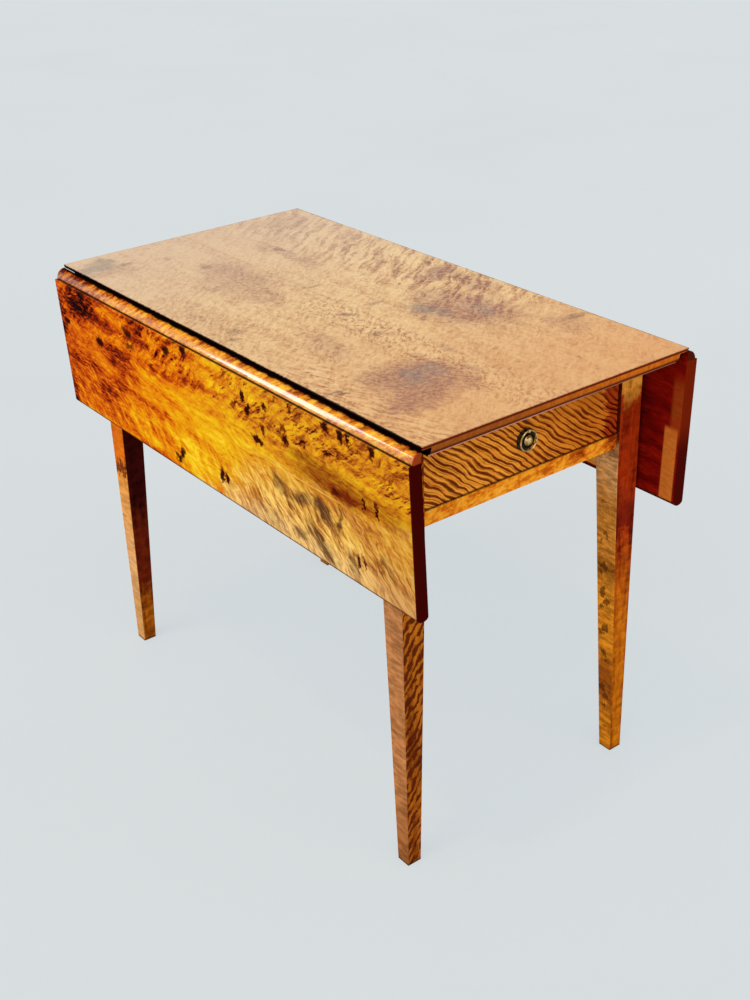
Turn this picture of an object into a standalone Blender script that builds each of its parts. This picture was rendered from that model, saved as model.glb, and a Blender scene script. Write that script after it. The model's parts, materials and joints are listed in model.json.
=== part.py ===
"""Drop-leaf work table: fixed top, two leaves on rule joints, one drawer in the short end, four tapered legs."""

import math

import bmesh
import bpy
from mathutils import Matrix, Vector

for old in list(bpy.data.objects):
    bpy.data.objects.remove(old, do_unlink=True)

# Driving sizes in metres. +Z is up, the drawer faces -Y, the origin is on the floor under the middle.
HEIGHT = 0.730
TOP_LENGTH = 0.964
TOP_WIDTH = 0.487
BOARD = 0.0205
GAP = 0.0003

# Rule joint: the leaf's round turns in the top's cove about the hinge pin.
LIP = 0.0055
ROUND = BOARD - LIP
JOINT_GAP = 0.0005
PIN_X = TOP_WIDTH / 2
PIN_Z = HEIGHT - BOARD

# Moulded short ends of the top: a thin fillet, a quirk, an ovolo and a second fillet under it.
END_FILLET = 0.0022
QUIRK = 0.0012
QUIRK_SLOPE = 0.0003
OVOLO_IN = 0.0070
LOW_FILLET = 0.0020

# Leaves hang a little inwards from the pin.
LEAF_WIDTH = 0.232
LEAF_NOSE = 0.0085
LEAF_TILT = math.radians(1.9)
LEAF_END_INNER = 0.0025
LEAF_END_OUTER = 0.0015

# Legs.
LEG_X = 0.2285
LEG_Y = 0.4135
LEG_SIDE = 0.0435
FOOT_SIDE = 0.0245
TAPER_Z = 0.522
LEG_TOP = PIN_Z - GAP

# Rails: the side rails are deeper than the front and back ones.
SIDE_BOTTOM = 0.522
RAIL_IN_X = LEG_X - LEG_SIDE
SIDE_RAIL = 0.022
FLY_RAIL = 0.0205
FLY_IN_X = RAIL_IN_X + SIDE_RAIL + GAP
RAIL_END_Y = LEG_Y - LEG_SIDE - GAP
FRONT_Y = -0.4095
RAIL_DEPTH = 0.040
FRONT_BOTTOM = 0.5657
RUNNER_TOP = 0.588
UPPER_BOTTOM = 0.6912
BACK_RAIL = 0.020
TENON = 0.018
ARRIS = 0.0010

# Fly brackets: wooden arms on a five-finger knuckle.
ARM_PIVOT_Y = -0.105
ARM_TIP_Y = 0.105
ARM_TALL = 0.085
ARM_TIP_TALL = 0.032
ARM_TOP = LEG_TOP - 0.0008
KERF = 0.0010
FINGER = FLY_RAIL / 2 - 0.0002
FINGER_SEAT = 0.0108
ARM_PIN = 0.0022

# Leaf hinges, two to a leaf.
HINGE_Y = 0.300
HINGE_WIDE = 0.060
HINGE_REACH = 0.033
FLAP = 0.0022
KNUCKLE = 0.0040
HINGE_PIN = 0.0017
MIDDLE_KNUCKLE = 0.0220
FLAP_BACK = KNUCKLE + 0.0006

# Drawer, in its own frame: y from its front face backwards, z from the runners' top.
DRAWER_X = 0.1838
DRAWER_LOW = 0.0018
DRAWER_HIGH = 0.1020
DRAWER_FRONT = 0.020
DRAWER_LENGTH = 0.559
SIDE_X = 0.1835
SIDE_THICK = 0.010
SIDE_HIGH = 0.098
BACK_THICK = 0.010
LAP = 0.007
FRONT_TAILS = (0.017, 0.049, 0.081)
BACK_TAILS = (0.036, 0.074)
TAIL_TIP = 0.0115
TAIL_ROOT = 0.0088
PANEL_LOW = 0.0100
PANEL_HIGH = 0.0165
GROOVE = 0.005

# Ring pull on the drawer front.
PULL_Z = 0.0505
RING_RADIUS = 0.0152
RING_WIRE = 0.0013
RING_OUT = 0.0064
EYE_BALL = 0.0030

# Colour, roughness and metallic of each finish.
FINISHES = {
    "birch_top": ((0.55, 0.33, 0.18), 0.25, 0.0),
    "birch_leaf": ((0.52, 0.22, 0.05), 0.25, 0.0),
    "birch_leg": ((0.45, 0.18, 0.04), 0.28, 0.0),
    "birch_rail": ((0.55, 0.24, 0.04), 0.28, 0.0),
    "pine": ((0.55, 0.38, 0.20), 0.60, 0.0),
    "brass": ((0.60, 0.42, 0.16), 0.30, 1.0),
    "dark_brass": ((0.12, 0.07, 0.03), 0.45, 1.0),
    "iron": ((0.10, 0.09, 0.08), 0.50, 1.0),
}

parts = bpy.data.collections.new("drop_leaf_work_table")
cutters = bpy.data.collections.new("cutters")
mortises = bpy.data.collections.new("mortises")
bpy.context.scene.collection.children.link(parts)
bpy.context.scene.collection.children.link(cutters)
cutters.children.link(mortises)

# Turns an outline drawn in a curve's own plane into the plane named, extruded along the third axis.
PLANES = {
    "XY": Matrix(),
    "XZ": Matrix.Rotation(math.pi / 2, 4, "X"),
    "YZ": Matrix.Rotation(math.pi / 2, 4, "Z") @ Matrix.Rotation(math.pi / 2, 4, "X"),
}
TURNED_FORWARD = Matrix.Rotation(math.pi / 2, 4, "X")


def arc(centre, radii, start, end, steps):
    """Points on an arc, or on part of an ellipse when the two radii differ."""
    points = []
    for i in range(steps + 1):
        angle = math.radians(start + (end - start) * i / steps)
        points.append((centre[0] + radii[0] * math.cos(angle), centre[1] + radii[1] * math.sin(angle)))
    return points


def paint(obj, finish):
    colour, roughness, metallic = FINISHES[finish]
    material = bpy.data.materials.new(obj.name + "_finish")
    material.use_nodes = True
    shader = material.node_tree.nodes["Principled BSDF"]
    shader.inputs["Base Color"].default_value = (*colour, 1)
    shader.inputs["Roughness"].default_value = roughness
    shader.inputs["Metallic"].default_value = metallic
    obj.data.materials.append(material)


def add(name, mesh, place, finish, parent, group=None):
    """A part in its finish or, with no finish, a hidden cutter."""
    obj = bpy.data.objects.new(name, mesh)
    obj.parent = parent
    obj.matrix_basis = place
    if finish:
        parts.objects.link(obj)
        paint(obj, finish)
    else:
        (group or cutters).objects.link(obj)
        obj.hide_render = True
        obj.display_type = "WIRE"
    return obj


def empty(name, place, parent=None):
    obj = bpy.data.objects.new(name, None)
    parts.objects.link(obj)
    obj.parent = parent
    obj.matrix_basis = place
    return obj


def box(name, low, high, finish=None, parent=None, group=None):
    low = Vector(low)
    high = Vector(high)
    bm = bmesh.new()
    bmesh.ops.create_cube(bm, size=1.0)
    bmesh.ops.scale(bm, vec=high - low, verts=bm.verts)
    mesh = bpy.data.meshes.new(name)
    bm.to_mesh(mesh)
    bm.free()
    return add(name, mesh, Matrix.Translation((low + high) / 2), finish, parent, group)


def rod(name, start, end, radius, sides, finish=None, parent=None):
    """A round bar from start to end, shaded smooth."""
    start = Vector(start)
    end = Vector(end)
    bm = bmesh.new()
    length = (end - start).length
    bmesh.ops.create_cone(
        bm, cap_ends=True, segments=sides, radius1=radius, radius2=radius, depth=length
    )
    mesh = bpy.data.meshes.new(name)
    bm.to_mesh(mesh)
    bm.free()
    mesh.shade_smooth()
    turn = (end - start).to_track_quat("Z", "Y").to_matrix().to_4x4()
    return add(name, mesh, Matrix.Translation((start + end) / 2) @ turn, finish, parent)


def prism(name, outline, plane, middle, thickness, finish=None, parent=None):
    """A flat outline given thickness: a filled 2D curve, made a mesh."""
    curve = bpy.data.curves.new(name, "CURVE")
    curve.dimensions = "2D"
    curve.fill_mode = "BOTH"
    curve.extrude = thickness / 2
    spline = curve.splines.new("POLY")
    spline.points.add(len(outline) - 1)
    for point, (x, y) in zip(spline.points, outline):
        point.co = (x, y, 0, 1)
    spline.use_cyclic_u = True
    drawn = bpy.data.objects.new(name + "_curve", curve)
    bpy.context.scene.collection.objects.link(drawn)
    graph = bpy.context.evaluated_depsgraph_get()
    mesh = bpy.data.meshes.new_from_object(drawn.evaluated_get(graph))
    bpy.data.objects.remove(drawn, do_unlink=True)
    bpy.data.curves.remove(curve)
    bm = bmesh.new()
    bm.from_mesh(mesh)
    bmesh.ops.remove_doubles(bm, verts=bm.verts, dist=1e-6)
    bmesh.ops.recalc_face_normals(bm, faces=bm.faces)
    bm.to_mesh(mesh)
    bm.free()
    return add(name, mesh, Matrix.Translation(middle) @ PLANES[plane], finish, parent)


def turned(name, profile, steps, closed, place, finish, parent):
    """A profile of (radius, height) points, from top to bottom on its outer side, turned about its own Z."""
    mesh = bpy.data.meshes.new(name)
    edges = [(i, i + 1) for i in range(len(profile) - 1)]
    if closed:
        edges.append((len(profile) - 1, 0))
    mesh.from_pydata([(r, 0, h) for r, h in profile], edges, [])
    obj = add(name, mesh, place, finish, parent)
    screw = obj.modifiers.new("turn", "SCREW")
    screw.steps = steps
    screw.render_steps = steps
    screw.use_merge_vertices = True
    screw.merge_threshold = 1e-6
    screw.use_smooth_shade = True
    return obj


def combine(obj, other, operation):
    boolean = obj.modifiers.new(other.name, "BOOLEAN")
    boolean.operation = operation
    boolean.solver = "EXACT"
    boolean.object = other


def cut(obj, *others):
    for other in others:
        combine(obj, other, "DIFFERENCE")


def join(obj, *others):
    for other in others:
        combine(obj, other, "UNION")


def ease(obj, width):
    """Takes the arrises off a piece, as sanding and wear do."""
    bevel = obj.modifiers.new("ease", "BEVEL")
    bevel.width = width
    bevel.segments = 3
    bevel.limit_method = "ANGLE"
    bevel.angle_limit = math.radians(60)


def bar(name, low, high, along, finish):
    """A bar along X or Y whose four long arrises are rounded a little."""
    wide = (low[1], high[1]) if along == "X" else (low[0], high[0])
    r = ARRIS
    outline = []
    for x, z, start in (
        (wide[1] - r, high[2] - r, 0),
        (wide[0] + r, high[2] - r, 90),
        (wide[0] + r, low[2] + r, 180),
        (wide[1] - r, low[2] + r, 270),
    ):
        outline += arc((x, z), (r, r), start, start + 90, 3)
    place = Vector(low) + Vector(high)
    if along == "X":
        return prism(name, outline, "YZ", (place.x / 2, 0, 0), high[0] - low[0], finish)
    return prism(name, outline, "XZ", (0, place.y / 2, 0), high[1] - low[1], finish)


def top_end(side):
    """Moulded short end of the top, from its arris down to its underside."""
    end = side * TOP_LENGTH / 2
    fillet = HEIGHT - END_FILLET
    start = fillet - QUIRK_SLOPE
    inner = end - side * (QUIRK + OVOLO_IN)
    rounding = arc((inner, start), (side * OVOLO_IN, PIN_Z + LOW_FILLET - start), 0, 90, 8)
    return [(end, HEIGHT), (end, fillet)] + rounding + [(inner, PIN_Z)]


def make_top():
    outline = top_end(1) + list(reversed(top_end(-1)))
    top = prism("top_board", outline, "YZ", (0, 0, 0), TOP_WIDTH, "birch_top")
    for side in (-1, 1):
        ends = [(side * PIN_X, y, PIN_Z) for y in (-TOP_LENGTH, TOP_LENGTH)]
        cut(top, rod("cove_cutter", *ends, ROUND + JOINT_GAP, 72))


def rail_with_tenons(name, low, high, tenon_low, tenon_high, finish):
    """A rail whose tenon runs right through it, and the cutter of the mortises for both its ends."""
    along = "X" if high[0] - low[0] > high[1] - low[1] else "Y"
    rail = bar(name, low, high, along, finish)
    join(rail, box(name + "_tenon", tenon_low, tenon_high))
    grow = Vector((GAP, GAP, GAP))
    box(name + "_mortise", Vector(tenon_low) - grow, Vector(tenon_high) + grow, group=mortises)


def make_rails():
    end_x = RAIL_IN_X - GAP
    reach_x = RAIL_IN_X + TENON
    front_back = FRONT_Y + RAIL_DEPTH
    for name, low, high, inset in (
        ("lower_front_rail", FRONT_BOTTOM, RUNNER_TOP, 0.004),
        ("upper_front_rail", UPPER_BOTTOM, LEG_TOP, 0.004),
    ):
        rail_with_tenons(
            name,
            (-end_x, FRONT_Y, low),
            (end_x, front_back, high),
            (-reach_x, FRONT_Y + 0.004, low + inset),
            (reach_x, FRONT_Y + 0.016, high - inset),
            "birch_rail",
        )
    rail_with_tenons(
        "back_rail",
        (-end_x, -FRONT_Y - BACK_RAIL, FRONT_BOTTOM),
        (end_x, -FRONT_Y, LEG_TOP),
        (-reach_x, -FRONT_Y - 0.016, FRONT_BOTTOM + 0.015),
        (reach_x, -FRONT_Y - 0.004, LEG_TOP - 0.015),
        "birch_rail",
    )
    for side, label in ((-1, "left"), (1, "right")):
        near, far = sorted((side * RAIL_IN_X, side * (RAIL_IN_X + SIDE_RAIL)))
        rail_with_tenons(
            "side_rail_" + label,
            (near, -RAIL_END_Y, SIDE_BOTTOM),
            (far, RAIL_END_Y, LEG_TOP),
            (near + 0.0065, -RAIL_END_Y - TENON, SIDE_BOTTOM + 0.020),
            (far - 0.0065, RAIL_END_Y + TENON, LEG_TOP - 0.020),
            "birch_rail",
        )


def make_leg(side_x, side_y, label):
    """A square leg whose two inner faces taper to the foot, mortised for the rails."""
    outer = Vector((side_x * LEG_X, side_y * LEG_Y, 0))
    bm = bmesh.new()
    bmesh.ops.create_cube(bm, size=1.0)
    bmesh.ops.translate(bm, vec=(0, 0, 0.5), verts=bm.verts)
    bmesh.ops.scale(bm, vec=(LEG_SIDE, LEG_SIDE, LEG_TOP), verts=bm.verts)
    bmesh.ops.bisect_plane(
        bm, geom=bm.verts[:] + bm.edges[:] + bm.faces[:], plane_co=(0, 0, TAPER_Z), plane_no=(0, 0, 1)
    )
    for vert in bm.verts:
        side = FOOT_SIDE if vert.co.z < TAPER_Z / 2 else LEG_SIDE
        vert.co.x = -side_x * side / 2 + math.copysign(side / 2, vert.co.x)
        vert.co.y = -side_y * side / 2 + math.copysign(side / 2, vert.co.y)
    mesh = bpy.data.meshes.new(label)
    bm.to_mesh(mesh)
    bm.free()
    leg = add(label, mesh, Matrix.Translation(outer), "birch_leg", None)
    ease(leg, ARRIS)
    boolean = leg.modifiers.new("mortises", "BOOLEAN")
    boolean.operation = "DIFFERENCE"
    boolean.solver = "EXACT"
    boolean.operand_type = "COLLECTION"
    boolean.collection = mortises


def make_drawer_ways():
    back = -FRONT_Y - BACK_RAIL - GAP
    front = FRONT_Y + RAIL_DEPTH + GAP
    inner = RAIL_IN_X - 0.025
    outer = RAIL_IN_X - GAP
    for side, label in ((-1, "left"), (1, "right")):
        near, far = sorted((side * inner, side * outer))
        box("drawer_runner_" + label, (near, front, FRONT_BOTTOM), (far, back, RUNNER_TOP), "pine")
        box("drawer_kicker_" + label, (near, front, UPPER_BOTTOM), (far, back, LEG_TOP), "pine")
        stop_front = FRONT_Y + DRAWER_FRONT + 0.0005
        middle = side * 0.115
        box(
            "drawer_stop_" + label,
            (middle - 0.016, stop_front, RUNNER_TOP + GAP),
            (middle + 0.016, stop_front + 0.014, RUNNER_TOP + 0.0070),
            "pine",
        )
        corner = [(side * outer, back), (side * (outer - 0.030), back), (side * outer, back - 0.030)]
        low = RUNNER_TOP + GAP
        high = UPPER_BOTTOM - GAP
        prism("corner_block_" + label, corner, "XY", (0, 0, (low + high) / 2), high - low, "pine")


def arm_edge(grow):
    """The bracket's lower edge from its knuckle end to its tip, with an ogee, grown by a saw kerf."""
    low = ARM_TOP - ARM_TALL
    rise = ARM_TALL - ARM_TIP_TALL
    points = []
    for i in range(13):
        t = i / 12
        y = -0.010 + (ARM_TIP_Y + 0.010) * t
        z = low + rise * (1 - math.cos(math.pi * t)) / 2
        points.append((y + grow, z - grow))
    return points


def finger(name, level, toward, parent, at):
    """One finger of the knuckle: from its own side up to and round the pin."""
    tall = ARM_TALL / 5
    z = ARM_TOP - ARM_TALL + (level + 0.5) * tall
    root = toward * (FINGER_SEAT + 0.003)
    rounding = arc((0, 0), (FINGER, toward * FINGER), 0, -180, 14)
    outline = [(-FINGER, root), (FINGER, root)] + rounding
    return prism(name, outline, "XY", (at[0], at[1], z), tall - 0.0005, parent=parent)


def make_fly_side(side_frame, label):
    """Outer layer of one long side: the fixed rail, the bracket sawn from it, and their pin."""
    middle_x = FLY_IN_X + FLY_RAIL / 2
    pivot = (middle_x, ARM_PIVOT_Y)
    low = ARM_TOP - ARM_TALL
    hollow = [(ARM_PIVOT_Y - FINGER_SEAT, LEG_TOP), (ARM_PIVOT_Y - FINGER_SEAT, low - KERF)] + arm_edge(KERF)
    hollow.append((ARM_TIP_Y + KERF, LEG_TOP))
    outline = [(RAIL_END_Y, LEG_TOP), (RAIL_END_Y, SIDE_BOTTOM), (-RAIL_END_Y, SIDE_BOTTOM)]
    outline += [(-RAIL_END_Y, LEG_TOP)] + hollow
    rail = prism("fly_rail_" + label, outline, "YZ", (middle_x, 0, 0), FLY_RAIL, "birch_rail", side_frame)
    for level in (0, 2, 4):
        join(rail, finger(f"rail_finger_{label}_{level}", level, -1, side_frame, pivot))
    bore = rod(
        "bracket_bore_" + label, (*pivot, low - 0.02), (*pivot, HEIGHT), ARM_PIN + 0.0004, 16, parent=side_frame
    )
    cut(rail, bore)
    for y in (-HINGE_Y, HINGE_Y):
        gain_low = (PIN_X - HINGE_REACH - 0.001, y - HINGE_WIDE / 2 - 0.001, PIN_Z - FLAP - 3 * GAP)
        gain_high = (PIN_X, y + HINGE_WIDE / 2 + 0.001, HEIGHT)
        cut(rail, box(f"hinge_gain_{label}_{y:+.1f}", gain_low, gain_high, parent=side_frame))

    axis = empty(f"fly_bracket_{label}_axis", Matrix.Translation((*pivot, 0)), side_frame)
    edge = [(y - ARM_PIVOT_Y, z) for y, z in arm_edge(0)]
    root = FINGER_SEAT
    outline = [(root, ARM_TOP), (root, low)] + edge + [(ARM_TIP_Y - ARM_PIVOT_Y, ARM_TOP)]
    arm = prism("fly_bracket_" + label, outline, "YZ", (0, 0, 0), FLY_RAIL - 2 * GAP, "birch_rail", axis)
    for level in (1, 3):
        join(arm, finger(f"arm_finger_{label}_{level}", level, 1, axis, (0, 0)))
    cut(arm, bore)
    rod("bracket_pin_" + label, (*pivot, low), (*pivot, ARM_TOP - 0.001), ARM_PIN, 16, "iron", side_frame)


def leaf_section():
    """The leaf seen from its end, about the pin: round and ledge of the rule joint, nose at the bottom edge."""
    nose = LEAF_NOSE - LEAF_WIDTH
    section = arc((0, 0), (ROUND, ROUND), 90, 0, 14)
    section += [(ROUND, -JOINT_GAP), (BOARD, -JOINT_GAP)]
    return section + arc((BOARD / 2, nose), (BOARD / 2, LEAF_NOSE), 0, -180, 14)


def leaf_plan():
    """The leaf seen from above: its ends are rounded off, more on the underside than on the show side."""
    end = TOP_LENGTH / 2
    inner = LEAF_END_INNER
    outer = LEAF_END_OUTER
    plan = arc((inner, inner - end), (inner, inner), 180, 270, 5)
    plan += arc((BOARD - outer, outer - end), (outer, outer), 270, 360, 3)
    plan += arc((BOARD - outer, end - outer), (outer, outer), 0, 90, 3)
    return plan + arc((inner, end - inner), (inner, inner), 90, 180, 5)


def make_leaf(side_frame, label, ends):
    """A leaf in its hanging pose, and its hinges. The parent empty is on the hinge pins' axis."""
    tilt = Matrix.Translation((PIN_X, 0, PIN_Z)) @ Matrix.Rotation(LEAF_TILT, 4, "Y")
    axis = empty(f"{label}_leaf_axis", tilt, side_frame)
    leaf = prism(f"{label}_leaf", leaf_section(), "XZ", (0, 0, 0), TOP_LENGTH, "birch_leaf", axis)
    plan = prism(f"{label}_leaf_plan", leaf_plan(), "XY", (0, 0, -LEAF_WIDTH / 2), 0.4, parent=axis)
    combine(leaf, plan, "INTERSECT")
    half = HINGE_WIDE / 2
    back = FLAP_BACK
    mid = MIDDLE_KNUCKLE / 2
    side = mid + 0.0005
    for y, end in zip((-HINGE_Y, HINGE_Y), ends):
        tag = f"{label}_{end}"
        groove = ((0, y - half - 0.001, 0), (0, y + half + 0.001, 0))
        cut(leaf, rod(f"hinge_groove_{tag}", *groove, KNUCKLE + 0.0008, 24, parent=axis))

        tabs = [(-HINGE_REACH, -half), (0, -half), (0, -side), (-back, -side)]
        outline = tabs + [(x, -v) for x, v in reversed(tabs)]
        middle = (PIN_X, y, PIN_Z - GAP - FLAP / 2)
        fixed = prism(f"hinge_top_flap_{tag}", outline, "XY", middle, FLAP, "iron", side_frame)
        for sign in (-1, 1):
            ends_y = [(PIN_X, y + sign * v, PIN_Z) for v in (side + 0.0001, half - 0.0002)]
            join(fixed, rod(f"knuckle_{tag}_{sign:+d}", *ends_y, KNUCKLE, 24, parent=side_frame))

        outline = [(-half, -HINGE_REACH), (half, -HINGE_REACH), (half, -back), (mid, -back), (mid, 0)]
        outline += [(-v, w) for v, w in reversed(outline[2:])]
        middle = (-GAP - FLAP / 2, y, 0)
        moving = prism(f"hinge_leaf_flap_{tag}", outline, "YZ", middle, FLAP, "iron", axis)
        ends_y = [(0, y + v, 0) for v in (0.0002 - mid, mid - 0.0002)]
        join(moving, rod(f"leaf_knuckle_{tag}", *ends_y, KNUCKLE, 24, parent=axis))

        ends_y = [(PIN_X, y + v, PIN_Z) for v in (-HINGE_WIDE, HINGE_WIDE)]
        bore = rod(f"hinge_bore_{tag}", *ends_y, HINGE_PIN + GAP, 16, parent=side_frame)
        cut(fixed, bore)
        cut(moving, bore)
        ends_y = [(PIN_X, y + v, PIN_Z) for v in (-half, half)]
        rod(f"hinge_pin_{tag}", *ends_y, HINGE_PIN, 16, "iron", side_frame)


def tails(centres, root, tip, grow):
    """Dovetails on a drawer side, each as (y, z) corners from its upper root round its tip."""
    step = math.copysign(grow, tip - root)
    shapes = []
    for z in centres:
        wide = TAIL_TIP + grow
        narrow = TAIL_ROOT + grow
        shapes.append([(root, z + narrow), (tip + step, z + wide), (tip + step, z - wide), (root, z - narrow)])
    return shapes


def make_drawer():
    frame = empty("drawer_axis", Matrix.Translation((0, FRONT_Y, RUNNER_TOP)))
    front_root = DRAWER_FRONT + GAP
    back_root = DRAWER_LENGTH - BACK_THICK - GAP
    front = box(
        "drawer_front", (-DRAWER_X, 0, DRAWER_LOW), (DRAWER_X, DRAWER_FRONT, DRAWER_HIGH), "birch_rail", frame
    )
    ease(front, ARRIS)
    back = box(
        "drawer_back",
        (-SIDE_X, DRAWER_LENGTH - BACK_THICK, PANEL_HIGH + GAP),
        (SIDE_X, DRAWER_LENGTH, SIDE_HIGH - 0.004),
        "pine",
        frame,
    )
    for side, label in ((-1, "left"), (1, "right")):
        outline = [(front_root, GAP), (back_root, GAP)]
        for shape in tails(BACK_TAILS, back_root, DRAWER_LENGTH, 0):
            outline += reversed(shape)
        outline += [(back_root, SIDE_HIGH), (front_root, SIDE_HIGH)]
        for shape in reversed(tails(FRONT_TAILS, front_root, LAP, 0)):
            outline += shape
        middle = side * (SIDE_X - SIDE_THICK / 2)
        piece = prism("drawer_side_" + label, outline, "YZ", (middle, 0, 0), SIDE_THICK, "pine", frame)
        inner = SIDE_X - SIDE_THICK
        near, far = sorted((side * (inner - 0.001), side * (inner + GROOVE)))
        groove = box(
            "side_groove_" + label,
            (near, -0.01, PANEL_LOW - GAP),
            (far, DRAWER_LENGTH + 0.01, PANEL_HIGH + GAP),
            parent=frame,
        )
        cut(piece, groove)
        # The sockets open at the ends of the front and the back, so their cutters run past them.
        middle = side * (SIDE_X - SIDE_THICK / 2 + 0.0020)
        for target, centres, root, tip in (
            (front, FRONT_TAILS, front_root, LAP),
            (back, BACK_TAILS, back_root, DRAWER_LENGTH + 0.001),
        ):
            for i, shape in enumerate(tails(centres, root, tip, GAP)):
                name = f"{target.name}_socket_{label}_{i}"
                cut(target, prism(name, shape, "YZ", (middle, 0, 0), SIDE_THICK + 0.0046, parent=frame))
    panel_x = SIDE_X - SIDE_THICK + GROOVE - GAP
    panel_front = DRAWER_FRONT - 0.006
    box(
        "drawer_bottom",
        (-panel_x, panel_front + GAP, PANEL_LOW),
        (panel_x, DRAWER_LENGTH + 0.0015, PANEL_HIGH),
        "pine",
        frame,
    )
    cut(
        front,
        box(
            "front_groove",
            (-panel_x - GAP, panel_front, PANEL_LOW - GAP),
            (panel_x + GAP, DRAWER_FRONT + 0.001, PANEL_HIGH + GAP),
            parent=frame,
        ),
    )
    make_pull(frame, front)


def make_pull(frame, front):
    """Brass ring pull: plate, post with its nut behind the drawer front, and an eye that the ring swings in."""
    forward = Matrix.Translation((0, 0, PULL_Z)) @ TURNED_FORWARD
    eye_z = PULL_Z + RING_RADIUS
    eye_forward = Matrix.Translation((0, 0, eye_z)) @ TURNED_FORWARD
    plate_profile = [(0.0023, 0.0030), (0.0076, 0.0030), (0.0090, 0.0017), (0.0124, 0.0017)]
    plate_profile += arc((0.0143, 0.0017), (0.0016, 0.0011), 160, 10, 5)
    plate_profile += [(0.0172, 0.0012), (0.0172, 0.0003), (0.0023, 0.0003)]
    plate = turned("pull_plate", plate_profile, 40, True, forward, "dark_brass", frame)
    shank = rod("shank_bore", (0, -0.01, PULL_Z), (0, 0.03, PULL_Z), 0.0023, 16, parent=frame)
    cut(front, shank)
    stem = rod("eye_bore", (0, -0.004, eye_z), (0, 0.0085, eye_z), 0.0016, 12, parent=frame)
    cut(front, stem)
    cut(plate, stem)

    dome = arc((0, 0.0062), (0.0066, 0.0040), 90, 5, 6)
    post_profile = dome + [(0.0075, 0.0058), (0.0075, 0.0050), (0.0042, 0.0044), (0.0042, 0.0033)]
    post_profile += [(0.0019, 0.0033), (0.0019, -0.0280), (0, -0.0280)]
    turned("pull_post", post_profile, 28, False, forward, "brass", frame)

    nut = rod("pull_nut", (0, 0.0203, PULL_Z), (0, 0.0243, PULL_Z), 0.0055, 6, "iron", frame)
    cut(nut, shank)

    ball = arc((0, RING_OUT), (EYE_BALL, EYE_BALL), 90, -65, 9)
    eye_profile = ball + [(0.0012, 0.0033), (0.0012, -0.0080), (0, -0.0080)]
    eye = turned("pull_eye", eye_profile, 20, False, eye_forward, "brass", frame)
    cut(eye, rod("ring_bore", (-0.01, -RING_OUT, eye_z), (0.01, -RING_OUT, eye_z), RING_WIRE + 0.0004, 16, parent=frame))

    axis = empty("pull_ring_axis", Matrix.Translation((0, -RING_OUT, eye_z)), frame)
    bpy.ops.mesh.primitive_torus_add(
        major_radius=RING_RADIUS, minor_radius=RING_WIRE, major_segments=40, minor_segments=10
    )
    made = bpy.context.active_object
    mesh = made.data
    bpy.data.objects.remove(made, do_unlink=True)
    mesh.shade_smooth()
    place = Matrix.Translation((0, 0, -RING_RADIUS)) @ TURNED_FORWARD
    add("pull_ring", mesh, place, "brass", axis)


make_top()
make_rails()
for side_x, label_x in ((-1, "left"), (1, "right")):
    for side_y, label_y in ((-1, "front"), (1, "back")):
        make_leg(side_x, side_y, f"leg_{label_y}_{label_x}")
make_drawer_ways()
# The left side is the right side turned half round about the table's middle.
for label, turn, ends in (("right", 0.0, ("front", "back")), ("left", math.pi, ("back", "front"))):
    side_frame = empty(label + "_side", Matrix.Rotation(turn, 4, "Z"))
    make_fly_side(side_frame, label)
    make_leaf(side_frame, label, ends)
make_drawer()
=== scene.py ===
"""Looks of the flame birch drop-leaf work table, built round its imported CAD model."""
import json
import math

import bmesh
import bpy
from mathutils import Matrix, Vector


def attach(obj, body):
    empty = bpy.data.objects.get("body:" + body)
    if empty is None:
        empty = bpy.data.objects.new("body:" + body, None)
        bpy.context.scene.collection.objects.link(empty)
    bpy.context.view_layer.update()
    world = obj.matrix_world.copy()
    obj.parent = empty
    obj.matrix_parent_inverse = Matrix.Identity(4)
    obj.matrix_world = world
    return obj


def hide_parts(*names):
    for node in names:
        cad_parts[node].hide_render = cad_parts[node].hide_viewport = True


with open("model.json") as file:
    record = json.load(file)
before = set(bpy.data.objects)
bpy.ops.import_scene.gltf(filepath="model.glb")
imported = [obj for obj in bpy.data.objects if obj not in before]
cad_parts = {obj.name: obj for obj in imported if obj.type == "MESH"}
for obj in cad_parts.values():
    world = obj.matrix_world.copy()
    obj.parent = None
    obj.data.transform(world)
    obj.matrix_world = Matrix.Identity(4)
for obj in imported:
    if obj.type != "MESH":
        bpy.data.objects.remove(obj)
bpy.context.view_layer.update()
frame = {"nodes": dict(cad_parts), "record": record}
NODES = frame["nodes"]
scene = bpy.context.scene
scene.view_settings.view_transform = "Standard"

TURN = 2 * math.pi

# Sizes that the finishes follow, in metres.
TOP_Z = 0.730
TOP_HALF_LONG = 0.482
LIP = 0.0055
SEAM_LEFT = 0.0055
PIN_X = 0.2435
PIN_Z = 0.7095
LEAF_TILT = math.radians(1.9)
TILT_COS = math.cos(LEAF_TILT)
TILT_SIN = math.sin(LEAF_TILT)
LEAF_LOW = -0.232
LEG_X = 0.2285
LEG_Y = 0.4135
LEG_SIDE = 0.0435
LEG_LONG = 0.709
FOOT_SIDE = 0.0245
TAPER_Z = 0.522
DRAWER_X = 0.1838
DRAWER_Y = -0.4095
DRAWER_LOW = 0.5898
DRAWER_HIGH = 0.6900


def tint(red, green, blue):
    """A colour given as it looks on a screen, 0 to 255, in the linear values that shaders use."""
    def linear(value):
        value /= 255
        return value / 12.92 if value <= 0.04045 else ((value + 0.055) / 1.055) ** 2.4
    return (linear(red), linear(green), linear(blue), 1.0)


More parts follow.
